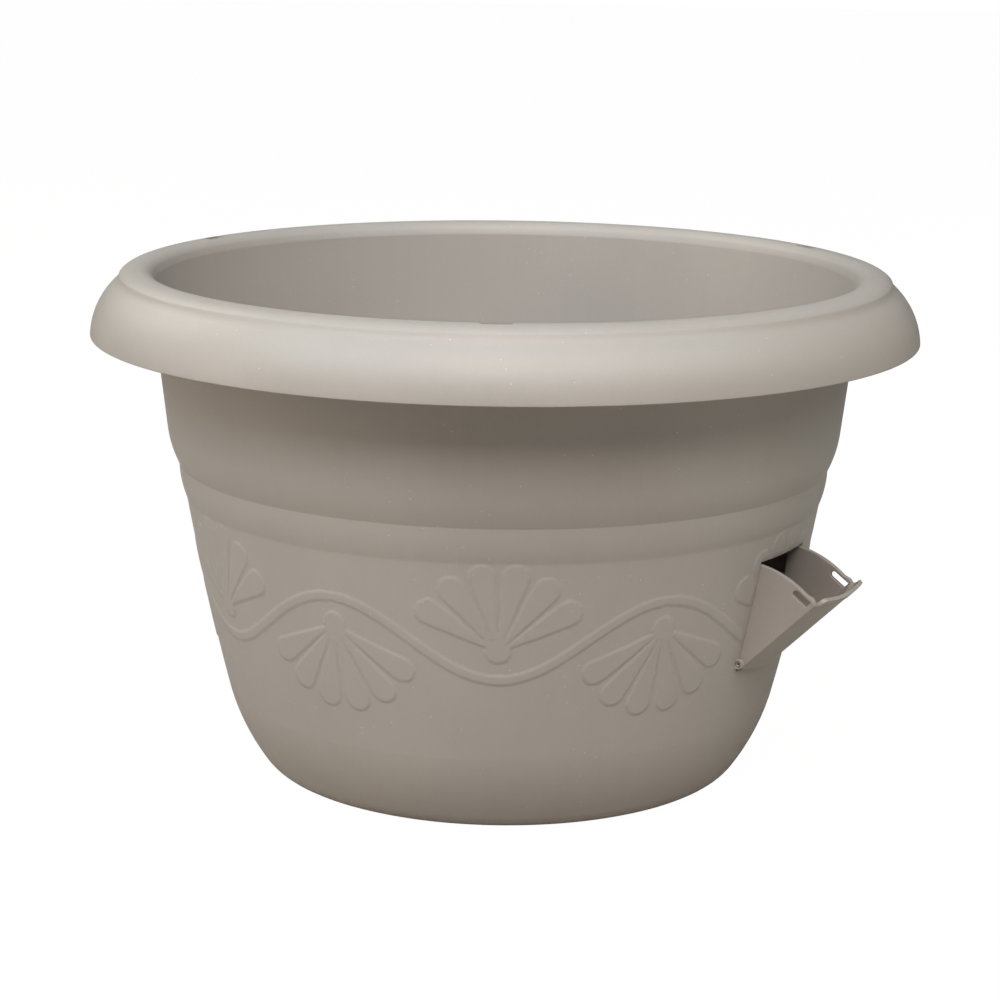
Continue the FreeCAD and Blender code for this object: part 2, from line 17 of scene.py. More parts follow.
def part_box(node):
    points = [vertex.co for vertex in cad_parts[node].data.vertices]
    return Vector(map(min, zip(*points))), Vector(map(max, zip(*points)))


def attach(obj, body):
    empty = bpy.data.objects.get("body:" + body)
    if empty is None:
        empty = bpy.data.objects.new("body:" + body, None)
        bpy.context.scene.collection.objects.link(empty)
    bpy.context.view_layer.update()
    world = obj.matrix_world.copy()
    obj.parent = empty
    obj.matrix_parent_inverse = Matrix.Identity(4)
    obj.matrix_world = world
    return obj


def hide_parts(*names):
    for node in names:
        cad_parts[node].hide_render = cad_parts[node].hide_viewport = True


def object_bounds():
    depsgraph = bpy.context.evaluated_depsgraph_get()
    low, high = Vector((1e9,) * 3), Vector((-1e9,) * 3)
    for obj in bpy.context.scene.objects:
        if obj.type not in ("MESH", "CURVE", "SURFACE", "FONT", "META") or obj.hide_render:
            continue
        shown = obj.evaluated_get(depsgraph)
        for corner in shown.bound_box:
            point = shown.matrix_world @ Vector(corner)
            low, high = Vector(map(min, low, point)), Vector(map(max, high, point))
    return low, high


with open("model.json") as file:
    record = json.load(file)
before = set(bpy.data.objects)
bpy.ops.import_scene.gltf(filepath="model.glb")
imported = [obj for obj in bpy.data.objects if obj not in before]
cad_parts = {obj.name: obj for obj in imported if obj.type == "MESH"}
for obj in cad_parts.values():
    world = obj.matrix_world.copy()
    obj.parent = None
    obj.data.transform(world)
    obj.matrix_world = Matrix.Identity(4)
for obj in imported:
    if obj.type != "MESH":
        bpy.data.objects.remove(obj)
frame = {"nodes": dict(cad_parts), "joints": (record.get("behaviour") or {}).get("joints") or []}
cad_low, cad_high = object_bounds()

MM = 0.001

# Sizes shared by several pieces, in millimetres ---------------------------------------------

CREST_HEIGHT = cad_high.z / MM
WALL = 2.0
RIM_EDGE = 161.7
LEDGE_HEIGHT = 34.0
FLOOR_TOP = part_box("reservoir_platform")[1].z / MM

WINDOW_HALF = 17.3
SILL = 53.0
LINTEL = 93.5

HINGE = next(joint for joint in frame["joints"] if joint["name"] == "hatch_hinge")
PIVOT = Vector(HINGE["pos_m"]) / MM
STUB_RADIUS, STUB_LENGTH, RUNNING_GAP = 1.0, 1.8, 0.1

SHARP_ANGLE = math.radians(50)
ROUND_SEGMENTS = 32


# Meshes -------------------------------------------------------------------------------------


def finish_mesh(bm, name):
    """A smooth shaded object from a bmesh in millimetres."""
    bmesh.ops.scale(bm, vec=(MM, MM, MM), verts=bm.verts)
    bmesh.ops.recalc_face_normals(bm, faces=bm.faces)
    mesh = bpy.data.meshes.new(name)
    bm.to_mesh(mesh)
    bm.free()
    for polygon in mesh.polygons:
        polygon.use_smooth = True
    piece = bpy.data.objects.new(name, mesh)
    bpy.context.scene.collection.objects.link(piece)
    return piece


def even_normals(piece):
    """Lets the large faces rule the shading, so that rounded edges stay narrow."""
    modifier = piece.modifiers.new("even_normals", "WEIGHTED_NORMAL")
    modifier.mode = "FACE_AREA_WITH_ANGLE"
    modifier.weight = 80
    modifier.keep_sharp = True


def apply_modifiers(piece):
    """Puts the modified mesh in the place of the plain one."""
    graph = bpy.context.evaluated_depsgraph_get()
    mesh = bpy.data.meshes.new_from_object(piece.evaluated_get(graph))
    piece.modifiers.clear()
    piece.data = mesh


# A corner of the pot's section. bend is None, or the side and radius of an arc to the next corner;
# rounding is how far the corner is cut back along both legs; spacing is that of the leg's points.
Corner = namedtuple("Corner", "radius height bend rounding spacing")

ARC_STEP = 0.25
LONG_LEG = 6.0
END_MARKS = (0.5, 1.3)
END_STRETCH = 2.0
SMALL_ROUNDING = 2.0


def arc(start, end, radius, turns_left):
    """Points on the shorter arc from start to end; its centre lies left or right of the way."""
    chord = end - start
    left = Vector((-chord.y, chord.x)).normalized()
    rise = math.sqrt(max(radius**2 - (chord.length / 2) ** 2, 0.0))
    centre = (start + end) / 2 + left * (rise if turns_left else -rise)
    first = math.atan2(start.y - centre.y, start.x - centre.x)
    sweep = math.atan2(end.y - centre.y, end.x - centre.x) - first
    sweep = (sweep + math.pi) % (2 * math.pi) - math.pi
    count = max(2, math.ceil(abs(sweep) * radius / ARC_STEP))
    angles = [first + sweep * i / count for i in range(count + 1)]
    return [centre + Vector((math.cos(a), math.sin(a))) * radius for a in angles]


def spot(corner):
    """Where a corner lies in the plane of the section."""
    return Vector((corner.radius, corner.height))


def leg_between(here, there):
    """The way from one corner to the next, straight or bent."""
    if here.bend is None:
        return [spot(here), spot(there)]
    side, radius = here.bend
    return arc(spot(here), spot(there), radius, side == "left")


def running_lengths(points):
    """How far along a line of points each of them lies."""
    lengths = [0.0]
    for here, there in zip(points, points[1:]):
        lengths.append(lengths[-1] + (there - here).length)
    return lengths


def point_at(points, lengths, distance):
    """The point at a distance along a line of points."""
    i = min(max(np.searchsorted(lengths, distance) - 1, 0), len(points) - 2)
    share = (distance - lengths[i]) / max(lengths[i + 1] - lengths[i], 1e-9)
    return points[i].lerp(points[i + 1], share)


def keeps_mark(mark, length):
    """True for the extra marks near the ends, for the ends and for all marks clear of them."""
    is_extra = mark in END_MARKS or length - mark in END_MARKS
    return is_extra or not 0 < min(mark, length - mark) < END_STRETCH


def stations(first, last, spacing):
    """Distances along a leg, even in the middle and closer at the ends, to hold the shading."""
    length = last - first
    inner = max(1, round(length / spacing))
    marks = [length * i / inner for i in range(inner + 1)]
    if length > LONG_LEG:
        marks += [*END_MARKS, *(length - mark for mark in END_MARKS)]
        marks = [mark for mark in marks if keeps_mark(mark, length)]
    return [first + mark for mark in sorted(set(round(mark, 4) for mark in marks))]


def section(corners):
    """The points of an open outline, with each cut corner filled by a smooth curve."""
    points = []
    for here, there in zip(corners, corners[1:]):
        leg = leg_between(here, there)
        lengths = running_lengths(leg)
        marks = stations(here.rounding, lengths[-1] - there.rounding, here.spacing)
        row = [point_at(leg, lengths, mark) for mark in marks]
        if points and here.rounding:
            points += blend_corner(points[-1], spot(here), row[0], here.rounding)
        elif points:
            row = row[1:]
        points += row
    return points


def blend_corner(start, corner, end, rounding):
    """The inner points of a quadratic curve that rounds a corner."""
    steps = 4 if rounding < SMALL_ROUNDING else 8
    shares = [i / steps for i in range(1, steps)]
    return [start * (1 - t) ** 2 + corner * (2 * t * (1 - t)) + end * t**2 for t in shares]


def lathe(rows, shape=None):
    """Turns rows (radius, height, columns) about +Z.

    shape(radius, height, angles) may move a row's points: it gives new radii, heights and angles.
    """
    bm = bmesh.new()
    rings = []
    for radius, height, columns in rows:
        if radius < 1e-6:
            rings.append([bm.verts.new((0, 0, height))])
            continue
        angles = np.arange(columns) * (2 * math.pi / columns)
        radii, heights = radius, height
        if shape is not None:
            radii, heights, angles = shape(radius, height, angles)
        places = [radii * np.cos(angles), radii * np.sin(angles), np.zeros(columns) + heights]
        rings.append([bm.verts.new(place) for place in np.stack(places, axis=1).tolist()])
    for low, high in zip(rings, rings[1:]):
        join_rings(bm, low, high)
    return bm


def join_rings(bm, low, high):
    """Faces between two rings, where the smaller column count divides the larger."""
    coarse, fine = sorted((low, high), key=len)
    ratio = len(fine) // len(coarse)
    if len(coarse) == 1:
        for i in range(len(fine)):
            bm.faces.new((coarse[0], fine[i], fine[(i + 1) % len(fine)]))
        return
    for i in range(len(coarse)):
        nearby = [fine[(i * ratio + k) % len(fine)] for k in range(ratio + 1)]
        bm.faces.new([coarse[i], *nearby, coarse[(i + 1) % len(coarse)]])


def fill_grid(bm, grid):
    """Four-sided faces between neighbouring rows of vertices."""
    for low, high in zip(grid, grid[1:]):
        for k in range(len(low) - 1):
            bm.faces.new((low[k], low[k + 1], high[k + 1], high[k]))


def wall_between(bm, first, second):
    """Four-sided faces all the way round between two closed outlines of vertices."""
    for k in range(len(first)):
        after = (k + 1) % len(first)
        bm.faces.new((first[k], first[after], second[after], second[k]))


def prism(bm, ends):
    """Closes the space between two equal outlines of vertices."""
    for end in ends:
        bm.faces.new(end)
    wall_between(bm, *ends)


def smooth_step(value):
    """Zero up to nought, one from one on, and a soft rise in between."""
    value = np.clip(value, 0.0, 1.0)
    return value * value * (3 - 2 * value)


# Frieze -------------------------------------------------------------------------------------

FAN_COUNT = 6
FRIEZE_TURN = math.radians(-0.5)
KNOB_RADIUS = 4.35
PETAL_ANGLES = [math.radians(a) for a in (-60, -36, -12, 12, 36, 60)]
PETAL_START, PETAL_END = 5.0, 27.4
PETAL_NARROW, PETAL_WIDE = 0.95, 4.5
UPRIGHT_HEIGHT, HANGING_HEIGHT = 71.1, 76.2
STEM_HEIGHT, STEM_WAVE, STEM_HALF_WIDTH = 73.3, 12.9, 1.65
FRIEZE_BOTTOM, FRIEZE_TOP = 42.5, 104.5

# How proud the pads stand, half the width of their sloping edge, and the stretch beside the
# window over which they fade.
RELIEF_HEIGHT, RELIEF_EDGE, RELIEF_FADE = 0.3, 0.16, 1.5

COARSE_COLUMNS = 300
FINE_COLUMNS = 1200
FINE_STEP = 0.58
EDGE_REACH = 0.7 * FINE_STEP
SLOPE_PROBE, LEAST_SLOPE_SQUARED = 0.02, 0.25


def petal_distance(across, along):
    """How far points lie outside a teardrop that stands on the origin and points along."""
    length = PETAL_END - PETAL_START
    slope = (PETAL_NARROW - PETAL_WIDE) / length
    level = math.sqrt(1 - slope**2)
    side, up = np.abs(across), along - PETAL_START
    turn = -slope * side + level * up
    narrow = np.hypot(side, up) - PETAL_NARROW
    wide = np.hypot(side, up - length) - PETAL_WIDE
    flank = side * level + up * slope - PETAL_NARROW
    return np.where(turn < 0, narrow, np.where(turn > level * length, wide, flank))


def fan_distance(across, up):
    """Distance outside a fan: a knob and six petals that spread upwards from it."""
    nearest = np.hypot(across, up) - KNOB_RADIUS
    for angle in PETAL_ANGLES:
        side = across * math.cos(angle) - up * math.sin(angle)
        along = across * math.sin(angle) + up * math.cos(angle)
        nearest = np.minimum(nearest, petal_distance(side, along))
    return nearest


def frieze_distance(radius, height, angles):
    """Distance outside the nearest raised pad, measured along the wall."""
    period = 2 * math.pi / FAN_COUNT
    turned = angles - FRIEZE_TURN
    upright = (turned + period / 2) % period - period / 2
    hanging = turned % period - period / 2
    distance = fan_distance(upright * radius, height - UPRIGHT_HEIGHT)
    distance = np.minimum(distance, fan_distance(hanging * radius, HANGING_HEIGHT - height))
    wave = FAN_COUNT * upright
    lean = STEM_WAVE * FAN_COUNT / radius * np.sin(wave)
    off_line = np.abs(height - STEM_HEIGHT + STEM_WAVE * np.cos(wave))
    return np.minimum(distance, off_line / np.hypot(1, lean) - STEM_HALF_WIDTH)


def to_pad_edges(radius, height, angles):
    """Moves points near a pad's edge onto the edge's foot or its top, to keep the outline crisp.

    Gives the new heights and angles, and which points are on a pad.
    """
    distance = frieze_distance(radius, height, angles)
    beside = frieze_distance(radius, height, angles + SLOPE_PROBE / radius)
    above = frieze_distance(radius, height + SLOPE_PROBE, angles)
    across = (beside - distance) / SLOPE_PROBE
    upwards = (above - distance) / SLOPE_PROBE
    steep = np.maximum(across**2 + upwards**2, LEAST_SLOPE_SQUARED)
    goal = np.where(distance < 0, -RELIEF_EDGE, RELIEF_EDGE)
    way = np.where(np.abs(distance) < EDGE_REACH, (goal - distance) / steep, 0.0)
    return height + way * upwards, angles + way * across / radius, distance < 0


# Basket shell -------------------------------------------------------------------------------

PLAIN_WALL_RADIUS = 122.0

SLOT_COUNT, SLOT_TURN = 3, math.radians(58.8)
SLOT_LENGTH, SLOT_WIDTH, SLOT_REACH = 11.0, 3.4, 132.2
SLOT_BOTTOM, SLOT_TOP = 178.0, 190.0
SLOT_END_STEPS = 12

LUG_RADIUS, LUG_THICK, LUG_ROOT = 1.7, 1.8, 104.0
LUG_END_STEPS = 24
EYE_OVERSHOOT = 1

WINDOW_INNER, WINDOW_OUTER = 88, 128
OVERFLOW_RADIUS, OVERFLOW_HEIGHT, OVERFLOW_ASIDE = 2.5, 28, 15
OVERFLOW_REACH, OVERFLOW_DEPTH = 100, 20


def shell_corners():
    """The pot's section from the middle of the base, out over the rim and back down the inside."""
    outside = [
        (0.0, 0.0, None, 0.0, 8.0),
        (85.1, 0.0, ("left", 80.0), 6.2, 2.0),
        (100.9, 30.0, ("left", 1040.0), 0.0, 2.0),
        (116.2, 102.5, ("left", 32.5), 0.6, 1.2),
        (118.7, 115.0, ("left", 37.0), 0.35, 1.2),
        (122.7, 127.7, None, 0.0, 2.0),
        (128.6, 178.8, ("right", 5.4), 0.0, 1.2),
        (132.2, 183.4, ("right", 9.6), 0.0, 1.2),
        (138.1, 179.9, ("right", 24.5), 0.5, 1.5),
        (148.3, RIM_EDGE, None, 0.4, 0.6),
        (149.95, RIM_EDGE, ("left", 26.5), 0.4, 1.2),
        (139.9, 181.1, ("left", 3.9), 1.9, 0.6),
        (138.2, 184.1, ("left", 13.6), 1.3, 0.8),
        (132.2, CREST_HEIGHT, ("left", 5.4), 0.0, 0.8),
    ]
    inside = [
        (126.6, 180.3, None, 0.0, 3.0),
        (120.7, 127.7, ("right", 39.0), 0.5, 2.0),
        (116.7, 115.0, ("right", 34.5), 0.8, 2.0),
        (114.2, 102.5, ("right", 1038.0), 0.8, 3.0),
        (99.9, LEDGE_HEIGHT, None, 0.3, 1.2),
        (95.9, LEDGE_HEIGHT, None, 0.4, 1.2),
        (95.9, LEDGE_HEIGHT - 1.5, None, 0.4, 1.2),
        (98.4, LEDGE_HEIGHT - 5.5, ("right", 78.0), 0.6, 2.5),
        (83.4, WALL, None, 5.5, 10.0),
        (0.0, WALL, None, 0.0, 10.0),
    ]
    return [Corner(*row) for row in outside + inside]


def shell_rows(points):
    """The section's points with their column counts: fine only where the frieze is."""
    outer = next(i for i, p in enumerate(points) if p.y > FRIEZE_BOTTOM)
    above = next(i for i, p in enumerate(points) if p.y > FRIEZE_TOP)
    rows = [(p.x, p.y, COARSE_COLUMNS) for p in points[:outer]]
    low, high = points[outer].y, points[above].y
    count = round((high - low) / FINE_STEP)
    heights = [low + (high - low) * i / count for i in range(count + 1)]
    rows.append(wall_row(points, low - FINE_STEP, FINE_COLUMNS // 2))
    rows += [wall_row(points, height, FINE_COLUMNS) for height in heights]
    rows.append(wall_row(points, high + FINE_STEP, FINE_COLUMNS // 2))
    return rows + [(p.x, p.y, COARSE_COLUMNS) for p in points[above + 1 :]]


def wall_radius(points, heights):
    """The outside wall's radius at given heights below the upper band."""
    outside = points[: next(i for i, p in enumerate(points) if p.x > PLAIN_WALL_RADIUS)]
    return np.interp(heights, [p.y for p in outside], [p.x for p in outside])


def wall_row(points, height, columns):
    """A lathe's row on the outside wall."""
    return float(wall_radius(points, height)), height, columns


def raise_frieze(points):
    """A shaping function that lifts the frieze out of the wall and fades it beside the window."""

    def shape(radius, height, angles):
        if len(angles) < FINE_COLUMNS or not FRIEZE_BOTTOM < height < FRIEZE_TOP:
            return radius, height, angles
        heights, turned, on_pad = to_pad_edges(radius, height, angles)
        radii = wall_radius(points, heights)
        aside = np.abs(radii * np.sin(turned)) - WINDOW_HALF
        over = heights - LINTEL
        away = np.where(np.cos(turned) > 0, np.maximum(aside, over), RELIEF_FADE)
        lift = RELIEF_HEIGHT * on_pad * smooth_step(away / RELIEF_FADE)
        return radii + lift, heights, turned

    return shape


def box_between(bm, low, high):
    """A box from its lowest corner to its highest."""
    made = bmesh.ops.create_cube(bm, size=1.0)["verts"]
    low, high = Vector(low), Vector(high)
    bmesh.ops.scale(bm, vec=high - low, verts=made)
    bmesh.ops.translate(bm, vec=(low + high) / 2, verts=made)


def rod(bm, radius, length, axis, centre):
    """A round rod about its centre, turned a quarter about axis from upright."""
    made = bmesh.ops.create_cone(
        bm, cap_ends=True, segments=ROUND_SEGMENTS, radius1=radius, radius2=radius, depth=length
    )["verts"]
    bmesh.ops.rotate(bm, matrix=Matrix.Rotation(math.pi / 2, 3, axis), verts=made)
    bmesh.ops.translate(bm, vec=centre, verts=made)


def carving_tool(bm, name):
    """A mesh for a boolean, kept out of the picture."""
    tool = finish_mesh(bm, name)
    tool.hide_render = True
    return tool


def carve(piece, tool, operation):
    """Cuts or joins with an exact boolean, then throws the tool away."""
    modifier = piece.modifiers.new(operation.lower(), "BOOLEAN")
    modifier.operation = operation
    modifier.solver = "EXACT"
    modifier.object = tool
    apply_modifiers(piece)
    bpy.data.objects.remove(tool)


def lug_outline():
    """A tongue from the wall to the hinge line, round at its end: reach, and height over the pivot."""
    outline = [(LUG_ROOT, -LUG_RADIUS)]
    for i in range(LUG_END_STEPS + 1):
        angle = math.pi * (i / LUG_END_STEPS - 0.5)
        outline.append((PIVOT.x + LUG_RADIUS * math.cos(angle), LUG_RADIUS * math.sin(angle)))
    outline.append((LUG_ROOT, LUG_RADIUS))
    return outline


def shell_lugs():
    """The two lugs beside the window that carry the hatch's stubs."""
    bm = bmesh.new()
    for side in (-1, 1):
        faces = sorted((side * WINDOW_HALF, side * (WINDOW_HALF + LUG_THICK)))
        prism(bm, [[bm.verts.new((x, y, PIVOT.z + z)) for x, z in lug_outline()] for y in faces])
    return carving_tool(bm, "lugs")


def shell_eyes():
    """The holes in the lugs, a running gap wider than the stubs."""
    bm = bmesh.new()
    for side in (-1, 1):
        inner = side * (WINDOW_HALF - EYE_OVERSHOOT)
        outer = side * (WINDOW_HALF + LUG_THICK + EYE_OVERSHOOT)
        centre = (PIVOT.x, (inner + outer) / 2, PIVOT.z)
        rod(bm, STUB_RADIUS + RUNNING_GAP, abs(outer - inner), "X", centre)
    return carving_tool(bm, "eyes")


def hanger_slot(bm):
    """A slot with round ends, as an upright prism."""
    half, radius = SLOT_LENGTH / 2, SLOT_WIDTH / 2
    outline = []
    for end in (1, -1):
        for i in range(SLOT_END_STEPS + 1):
            angle = math.pi * i / SLOT_END_STEPS
            across = SLOT_REACH + end * radius * math.cos(angle)
            outline.append((across, end * (half - radius + radius * math.sin(angle))))
    floor, roof = ([bm.verts.new((x, y, z)) for x, y in outline] for z in (SLOT_BOTTOM, SLOT_TOP))
    prism(bm, [floor, roof])
    return floor + roof


def shell_openings():
    """Window, hanger slots and overflow holes, as one cutting tool."""
    bm = bmesh.new()
    box_between(bm, (WINDOW_INNER, -WINDOW_HALF, SILL), (WINDOW_OUTER, WINDOW_HALF, LINTEL))
    for i in range(SLOT_COUNT):
        turn = Matrix.Rotation(SLOT_TURN + i * math.tau / SLOT_COUNT, 3, "Z")
        bmesh.ops.rotate(bm, matrix=turn, verts=hanger_slot(bm))
    for side in (-1, 1):
        centre = (-OVERFLOW_REACH, OVERFLOW_ASIDE * side, OVERFLOW_HEIGHT)
        rod(bm, OVERFLOW_RADIUS, OVERFLOW_DEPTH, "Y", centre)
    return carving_tool(bm, "openings")


def make_shell():
    """The pot: turned with its frieze, then cut for the window and slots and given its eyes."""
    points = section(shell_corners())
    bm = lathe(shell_rows(points), raise_frieze(points))
    shell = finish_mesh(bm, "basket_pot")
    carve(shell, shell_openings(), "DIFFERENCE")
    carve(shell, shell_lugs(), "UNION")
    carve(shell, shell_eyes(), "DIFFERENCE")
    shell.data.set_sharp_from_angle(angle=SHARP_ANGLE)
    even_normals(shell)
    return shell


# Water hatch --------------------------------------------------------------------------------
# Drawn about its pivot with the panel upright, then tilted open.

OPEN_TILT = math.radians(45.5)
PANEL_HALF, PANEL_TAIL, PANEL_TOP = 17.0, -1.2, 41.0
PANEL_INSET = 0.15
PANEL_OUT, PANEL_BOW, PANEL_THICK = 1.6, 3.0, 1.8
LIP_OUT, LIP_BOW, LIP_THICK = 2.7, 2.0, 1.4
LIP_START, LIP_FULL, LIP_ROUND = 36.0, 38.4, 2.6
PANEL_ROWS, STEP_ROWS, LIP_ROWS, CORNER_ROWS = 40, 7, 4, 10
PANEL_COLUMNS = np.linspace(-1, 1, 41)
CHEEK_OUT, CHEEK_THICK, CHEEK_RADIUS = 17.0, 1.8, 36.8
CHEEK_SWEEP, STOP_RADIUS, STOP_SWEEP = math.radians(42.1), 39.2, math.radians(38.1)
BUMP_HEIGHT, BUMP_ANGLE, BUMP_SPREAD = 0.75, math.radians(0.8), math.radians(4.5)
FLEX_SLOT_HALF, FLEX_SLOT_START = 1.25, Vector((0.5, 35.0))
FLEX_SLOT_REACH, FLEX_SLOT_SWEEP = 34.3, math.radians(9.5)
HUB_RADIUS, HUB_START, HUB_SWEEP = 1.8, math.pi - math.radians(10), math.radians(100)
EDGE_STEPS, STOP_STEPS, HUB_STEPS, SLOT_STEPS = 120, 8, 24, 16
STUB_ROOT, STUB_CHAMFER = -1.0, 0.15
PIT_RADIUS, PIT_DEPTH = 0.6, 1.4
EDGE_BEVEL = 0.28
MERGE_DISTANCE = 0.002


def tilt_open(bm):
    """Leans the upright drawing outwards and puts its pivot on the hinge line."""
    turn = Matrix.Rotation(OPEN_TILT, 4, "Y")
    bmesh.ops.transform(bm, matrix=Matrix.Translation(PIVOT) @ turn, verts=bm.verts)


def lip_share(height):
    """Nought on the plain panel, one on the lip."""
    return smooth_step((height - LIP_START) / (LIP_FULL - LIP_START))


def panel_half_width(height):
    """Half the panel's width: a little less between the cheeks, and rounded at the lip's corners."""
    over = height - (PANEL_TOP - LIP_ROUND)
    if over > 0:
        return PANEL_HALF - LIP_ROUND + math.sqrt(max(LIP_ROUND**2 - over**2, 0.0))
    return PANEL_HALF - PANEL_INSET * (1 - lip_share(height))


def panel_face(across, height):
    """Reach of the outer face, bowed across and stepped out to the lip, and the thickness."""
    share = lip_share(height)
    out = PANEL_OUT + (LIP_OUT - PANEL_OUT) * share
    bow = PANEL_BOW + (LIP_BOW - PANEL_BOW) * share
    thick = PANEL_THICK + (LIP_THICK - PANEL_THICK) * share
    return out + bow * (1 - (across / PANEL_HALF) ** 2), thick


def panel_heights():
    """Heights of the panel's rows, closest where it steps out to the lip and rounds its corners."""
    corner_start = PANEL_TOP - LIP_ROUND
    rows = np.linspace(PANEL_TAIL, LIP_START, PANEL_ROWS).tolist()
    rows += np.linspace(LIP_START, LIP_FULL, STEP_ROWS).tolist()[1:]
    rows += np.linspace(LIP_FULL, corner_start, LIP_ROWS).tolist()[1:]
    for i in range(1, CORNER_ROWS):
        rows.append(PANEL_TOP - LIP_ROUND * (1 - math.sin(math.pi / 2 * i / CORNER_ROWS)))
    return rows


def panel_grid(bm, inner):
    """Rows of vertices on the panel's outer face (inner is 0) or its inner face (inner is 1)."""
    grid = []
    for height in panel_heights():
        across = PANEL_COLUMNS * panel_half_width(height)
        reach, thick = panel_face(across, height)
        reach = reach - thick * inner
        row = zip(reach.tolist(), across.tolist())
        grid.append([bm.verts.new((x, y, height)) for x, y in row])
    return grid


def make_panel():
    """The front panel with its finger lip."""
    bm = bmesh.new()
    grids = [panel_grid(bm, inner) for inner in (0, 1)]
    for grid in grids:
        fill_grid(bm, grid)
    wall_between(bm, *(border(grid) for grid in grids))
    tilt_open(bm)
    panel = finish_mesh(bm, "hatch_panel")
    bevel = panel.modifiers.new("edge", "BEVEL")
    bevel.width = EDGE_BEVEL * MM
    bevel.segments = 3
    bevel.limit_method = "ANGLE"
    bevel.angle_limit = SHARP_ANGLE
    even_normals(panel)
    return panel


def border(grid):
    """The outline of a grid of vertices, once round."""
    left = [row[0] for row in grid]
    right = [row[-1] for row in grid]
    return grid[0][:-1] + right[:-1] + grid[-1][:0:-1] + left[:0:-1]


def sector_point(radius, angle):
    """A point at a radius from the pivot, turned inwards from the panel."""
    return Vector((-radius * math.sin(angle), radius * math.cos(angle)))


def bell(value):
    """A smooth bump of height one between minus one and one."""
    return math.cos(math.pi / 2 * value) ** 2 if abs(value) < 1 else 0.0


def cheek_outline():
    """A sector with a stop at its inner end, a snap bump near the panel and a rounded hub."""
    start = -math.asin(PANEL_OUT / CHEEK_RADIUS)
    points = []
    for i in range(EDGE_STEPS + 1):
        angle = start + (STOP_SWEEP - start) * i / EDGE_STEPS
        bump = BUMP_HEIGHT * bell((angle - BUMP_ANGLE) / BUMP_SPREAD)
        points.append(sector_point(CHEEK_RADIUS + bump, angle))
    for i in range(STOP_STEPS + 1):
        angle = STOP_SWEEP + (CHEEK_SWEEP - STOP_SWEEP) * i / STOP_STEPS
        points.append(sector_point(STOP_RADIUS, angle))
    for i in range(HUB_STEPS + 1):
        angle = HUB_START + HUB_SWEEP * i / HUB_STEPS
        points.append(Vector((math.cos(angle), math.sin(angle))) * HUB_RADIUS)
    points.append(Vector((PANEL_OUT, PANEL_TAIL)))
    return points


def flex_slot_outline():
    """A straight slot under the bump, round at its inner end."""
    end = sector_point(FLEX_SLOT_REACH, FLEX_SLOT_SWEEP)
    along = (end - FLEX_SLOT_START).normalized()
    side = Vector((-along.y, along.x)) * FLEX_SLOT_HALF
    points = [FLEX_SLOT_START + side, FLEX_SLOT_START - side]
    for i in range(SLOT_STEPS + 1):
        angle = math.pi * i / SLOT_STEPS
        points.append(end - side * math.cos(angle) + along * FLEX_SLOT_HALF * math.sin(angle))
    return points


def plate_curve(outlines, thickness):
    """A filled flat curve with rounded edges, from closed outlines; inner ones are holes."""
    curve = bpy.data.curves.new("plate", "CURVE")
    curve.dimensions = "2D"
    curve.fill_mode = "BOTH"
    curve.extrude = thickness / 2 - EDGE_BEVEL
    curve.bevel_depth = EDGE_BEVEL
    curve.bevel_resolution = 2
    curve.offset = -EDGE_BEVEL
    for outline in outlines:
        spline = curve.splines.new("POLY")
        spline.points.add(len(outline) - 1)
        for point, place in zip(spline.points, outline):
            point.co = (place.x, place.y, 0, 1)
        spline.use_cyclic_u = True
    return curve


def plate(outlines, thickness):
    """A flat plate in the X-Z plane with rounded edges."""
    holder = bpy.data.objects.new("plate", plate_curve(outlines, thickness))
    bpy.context.scene.collection.objects.link(holder)
    graph = bpy.context.evaluated_depsgraph_get()
    mesh = bpy.data.meshes.new_from_object(holder.evaluated_get(graph))
    bpy.data.objects.remove(holder)
    bm = bmesh.new()
    bm.from_mesh(mesh)
    bpy.data.meshes.remove(mesh)
    bmesh.ops.remove_doubles(bm, verts=bm.verts, dist=MERGE_DISTANCE)
    bmesh.ops.rotate(bm, matrix=Matrix.Rotation(math.pi / 2, 3, "X"), verts=bm.verts)
    return bm


def make_cheek(side):
    """One side wall of the chute with its stub; side is -1 for the left one and 1 for the right."""
    bm = plate([cheek_outline(), flex_slot_outline()], CHEEK_THICK)
    middle = side * (CHEEK_OUT - CHEEK_THICK / 2)
    bmesh.ops.translate(bm, vec=(0, middle, 0), verts=bm.verts)
    add_stub(bm, side)
    tilt_open(bm)
    cheek = finish_mesh(bm, "hatch_cheek_" + ("left" if side < 0 else "right"))
    even_normals(cheek)
    return cheek


def add_stub(bm, side):
    """The hinge stub with its cored end, turned about the hinge line."""
    pit_floor = STUB_LENGTH - PIT_DEPTH
    outline = [
        (0, STUB_ROOT),
        (STUB_RADIUS, STUB_ROOT),
        (STUB_RADIUS, STUB_LENGTH - STUB_CHAMFER),
        (STUB_RADIUS - STUB_CHAMFER, STUB_LENGTH),
        (PIT_RADIUS, STUB_LENGTH),
        (PIT_RADIUS, pit_floor),
        (0, pit_floor),
    ]
    stub = lathe([(radius, height, ROUND_SEGMENTS) for radius, height in outline])
    spin = Matrix.Rotation(-side * math.pi / 2, 4, "X")
    place = Matrix.Translation((0, side * CHEEK_OUT, 0))
    bmesh.ops.transform(stub, matrix=place @ spin, verts=stub.verts)
    mesh = bpy.data.meshes.new("stub")
    stub.to_mesh(mesh)
    stub.free()
    bm.from_mesh(mesh)
    bpy.data.meshes.remove(mesh)


def make_hatch():
    """The chute: its panel first, then both cheeks."""
    return [make_panel(), make_cheek(-1), make_cheek(1)]


# Capillary mat ------------------------------------------------------------------------------
# Heights of the mat are above the false floor; its edge is given by how far it is set in.

